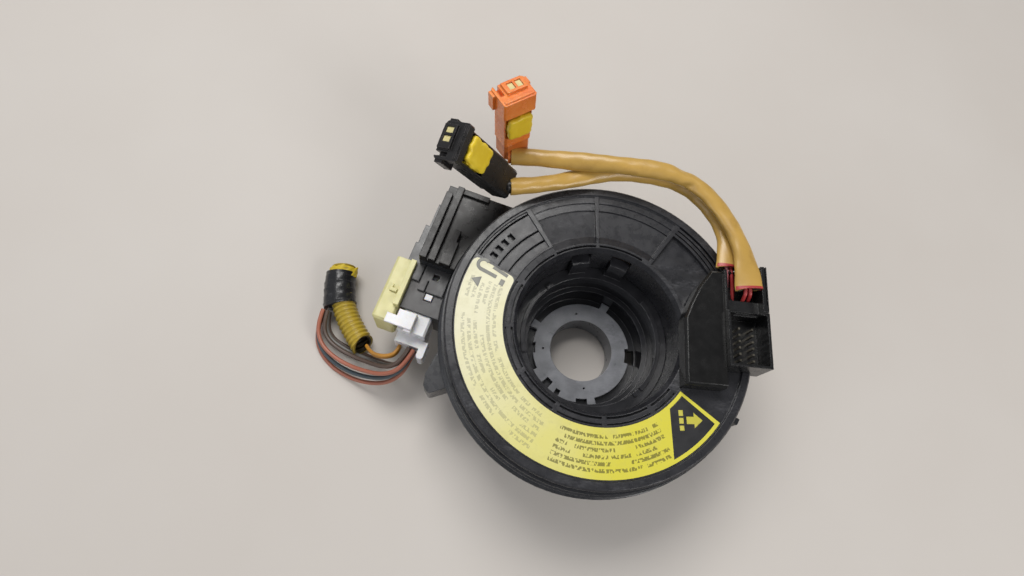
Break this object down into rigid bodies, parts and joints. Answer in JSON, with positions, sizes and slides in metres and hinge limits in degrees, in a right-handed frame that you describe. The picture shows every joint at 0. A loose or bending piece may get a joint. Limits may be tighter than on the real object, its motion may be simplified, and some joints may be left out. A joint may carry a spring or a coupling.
{
  "type": "steering clock spring",
  "caption": "Round steering-column clock spring: a turning ring with two airbag leads and a wheel socket sits in a fixed case with a side connector block and a short harness.",
  "frame": {"origin": "on the steering axis at the lower end of the shaft tube", "axes": "+Z along the steering axis towards the driver, +X the way the dark arrow panel points, +Y away from the driver's side"},
  "size_m": [0.1607, 0.1326, 0.0787],
  "materials": {
    "boot_brown": "brown-orange moulding in shade",
    "cam_black": "matte, dusty",
    "case_black": "satin moulding",
    "conduit_yellow": "corrugated yellow conduit",
    "cover_black": "dusty brown-black moulding",
    "hub_black": "dark, slightly shiny moulding",
    "insert_pale": "pale yellow insert",
    "label_dark": "printed dark panel",
    "label_yellow": "printed film label",
    "lock_yellow": "yellow moulding",
    "pin_metal": "plated contact pins",
    "plug_black": "black moulding",
    "plug_orange": "translucent orange moulding",
    "plug_pale_yellow": "pale yellow moulding",
    "plug_white": "milky natural plastic",
    "ribbon_film": "orange-brown film with flat conductors",
    "rotor_black": "satin moulding, lightly dusty",
    "sheath_yellow": "soft yellow sleeve",
    "socket_black": "matte moulding",
    "socket_grey": "dusty grey moulding",
    "tape_black": "glossy black vinyl tape",
    "wire_blue_grey": "blue-grey insulation",
    "wire_brown": "brown insulation",
    "wire_grey": "grey insulation",
    "wire_orange": "orange-yellow insulation",
    "wire_salmon": "salmon insulation"
  },
  "bodies": {
    "stator": {"airbag_harness_plug": "plug_pale_yellow", "block_cover": "cover_black", "flat_cable": "ribbon_film", "harness_conduit": "conduit_yellow", "harness_tape": "tape_black", "harness_wire_1": "wire_brown", "harness_wire_2": "wire_salmon", "harness_wire_3": "wire_grey", "harness_wire_4": "wire_blue_grey", "harness_wire_5": "wire_brown", "harness_wire_6": "wire_salmon", "lower_socket": "socket_grey", "main_harness_plug": "plug_white", "plug_retainer": "plug_white", "sensor_wire_1": "wire_orange", "sensor_wire_2": "wire_orange", "stator_base": "case_black", "stator_case": "case_black"},
    "rotor": {"rotor_face": "rotor_black", "rotor_hub": "hub_black", "cancel_cam": "cam_black", "rotor_block": "rotor_black", "wheel_socket": "socket_black", "wheel_socket_pins": "pin_metal", "label_sheet": "label_yellow", "label_end_panel": "label_dark", "airbag_lead_upper": "sheath_yellow", "airbag_lead_lower": "sheath_yellow", "orange_plug_body": "plug_orange", "orange_plug_boot": "boot_brown", "black_plug_body": "plug_black", "black_plug_boot": "plug_black", "orange_plug_insert": "insert_pale", "black_plug_insert": "insert_pale"},
    "orange_lock_plate": {"orange_lock": "lock_yellow"},
    "black_lock_plate": {"black_lock": "lock_yellow"}
  },
  "joints": [
    {"name": "steering_turn", "type": "hinge", "parent": "stator", "child": "rotor", "pos_m": [0, 0, 0], "axis": [0, 0, 1], "range_deg": [-900, 900]},
    {"name": "orange_lock_press", "type": "slide", "parent": "rotor", "child": "orange_lock_plate", "axis": [0.4944, -0.8563, 0.1495], "range_m": [-0.0019, 0]},
    {"name": "black_lock_press", "type": "slide", "parent": "rotor", "child": "black_lock_plate", "axis": [0.7549, -0.4315, 0.4939], "range_m": [-0.0019, 0]}
  ]
}
